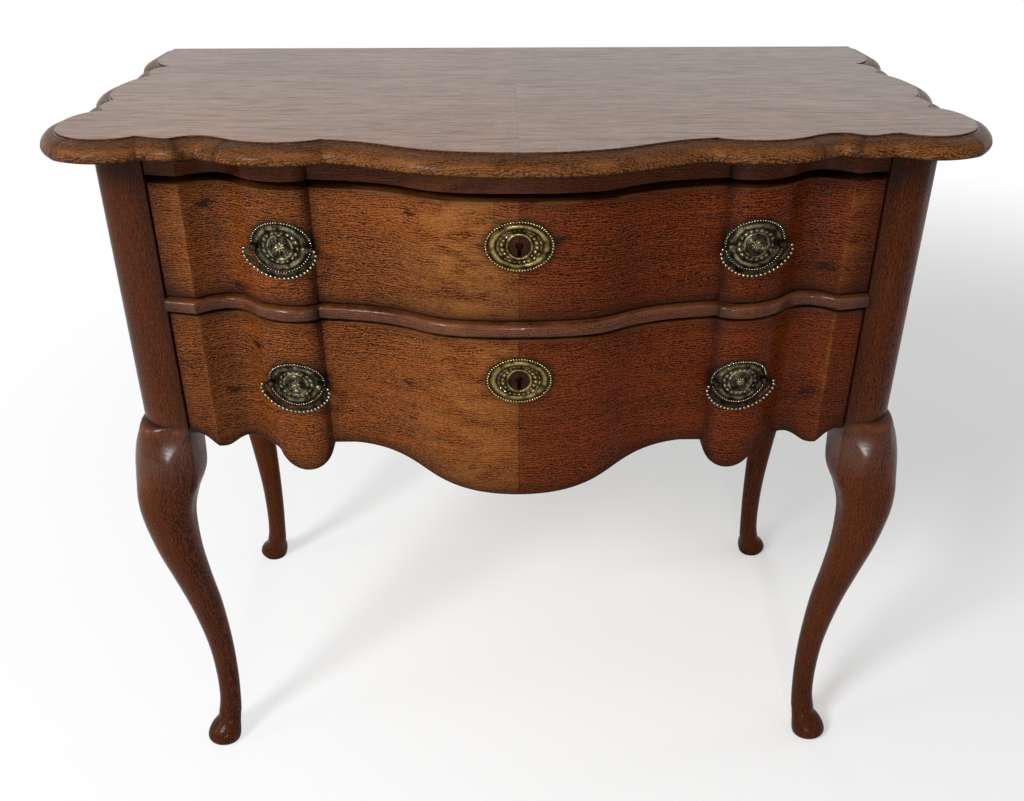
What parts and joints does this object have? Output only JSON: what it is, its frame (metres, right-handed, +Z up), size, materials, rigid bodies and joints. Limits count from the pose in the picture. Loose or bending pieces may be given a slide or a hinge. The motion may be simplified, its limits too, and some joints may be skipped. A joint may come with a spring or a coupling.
{
  "type": "commode chest",
  "caption": "Small serpentine chest with drawers on cabriole legs, shaped apron, moulded top and brass bail handles.",
  "frame": {"origin": "on the floor, under the middle of the chest's overall width and depth", "axes": "+Z up, -Y towards the front where the drawers open, +X to the right seen from the front"},
  "size_m": [0.894, 0.529, 0.775],
  "materials": {
    "oak_top": "waxed, worn",
    "oak_case": "waxed, dark",
    "oak_front": "waxed",
    "oak_inside": "bare",
    "brass": "aged, dull",
    "iron": "dull"
  },
  "bodies": {
    "case": {"top_board": "oak_top", "leg_front_left": "oak_case", "leg_front_right": "oak_case", "leg_back_left": "oak_case", "leg_back_right": "oak_case", "side_panel_left": "oak_case", "side_panel_right": "oak_case", "back_board_upper": "oak_inside", "back_board_lower": "oak_inside", "top_rail": "oak_case", "middle_rail": "oak_case", "bottom_rail": "oak_inside", "runner_upper_left": "oak_inside", "runner_upper_right": "oak_inside", "runner_lower_left": "oak_inside", "runner_lower_right": "oak_inside", "guide_upper_left": "oak_inside", "guide_upper_right": "oak_inside", "guide_lower_left": "oak_inside", "guide_lower_right": "oak_inside", "kicker_left": "oak_inside", "kicker_right": "oak_inside", "drawer_stops": "oak_inside", "glue_blocks": "iron", "top_screws": "iron", "back_nails": "iron"},
    "upper_drawer": {"upper_drawer_front": "oak_front", "upper_drawer_side_left": "oak_inside", "upper_drawer_side_right": "oak_inside", "upper_drawer_back": "oak_inside", "upper_drawer_bottom": "oak_inside", "upper_lock_case": "iron", "upper_lock_screws": "iron", "upper_escutcheon": "brass", "upper_escutcheon_pins": "brass", "upper_left_plate": "brass", "upper_right_plate": "brass", "upper_handle_posts": "brass", "upper_handle_nuts": "brass"},
    "lower_drawer": {"lower_drawer_front": "oak_front", "lower_drawer_side_left": "oak_inside", "lower_drawer_side_right": "oak_inside", "lower_drawer_back": "oak_inside", "lower_drawer_bottom": "oak_inside", "lower_lock_case": "iron", "lower_lock_screws": "iron", "lower_escutcheon": "brass", "lower_escutcheon_pins": "brass", "lower_left_plate": "brass", "lower_right_plate": "brass", "lower_handle_posts": "brass", "lower_handle_nuts": "brass"},
    "upper_lock_bolt": {"upper_lock_bolt": "iron"},
    "lower_lock_bolt": {"lower_lock_bolt": "iron"},
    "upper_left_bail": {"upper_left_bail": "brass"},
    "upper_right_bail": {"upper_right_bail": "brass"},
    "lower_left_bail": {"lower_left_bail": "brass"},
    "lower_right_bail": {"lower_right_bail": "brass"}
  },
  "joints": [
    {"name": "upper_drawer_slide", "type": "slide", "parent": "case", "child": "upper_drawer", "axis": [0, -1, 0], "range_m": [0, 0.25]},
    {"name": "lower_drawer_slide", "type": "slide", "parent": "case", "child": "lower_drawer", "axis": [0, -1, 0], "range_m": [0, 0.25]},
    {"name": "upper_bolt_slide", "type": "slide", "parent": "upper_drawer", "child": "upper_lock_bolt", "axis": [0, 0, 1], "range_m": [0, 0.012]},
    {"name": "lower_bolt_slide", "type": "slide", "parent": "lower_drawer", "child": "lower_lock_bolt", "axis": [0, 0, 1], "range_m": [0, 0.012]},
    {"name": "upper_left_bail_turn", "type": "hinge", "parent": "upper_drawer", "child": "upper_left_bail", "pos_m": [-0.22, -0.194, 0.674], "axis": [-0.9816, 0.1908, 0], "range_deg": [0, 100]},
    {"name": "upper_right_bail_turn", "type": "hinge", "parent": "upper_drawer", "child": "upper_right_bail", "pos_m": [0.22, -0.194, 0.674], "axis": [-0.9816, -0.1908, 0], "range_deg": [0, 100]},
    {"name": "lower_left_bail_turn", "type": "hinge", "parent": "lower_drawer", "child": "lower_left_bail", "pos_m": [-0.22, -0.194, 0.532], "axis": [-0.9816, 0.1908, 0], "range_deg": [0, 100]},
    {"name": "lower_right_bail_turn", "type": "hinge", "parent": "lower_drawer", "child": "lower_right_bail", "pos_m": [0.22, -0.194, 0.532], "axis": [-0.9816, -0.1908, 0], "range_deg": [0, 100]}
  ]
}
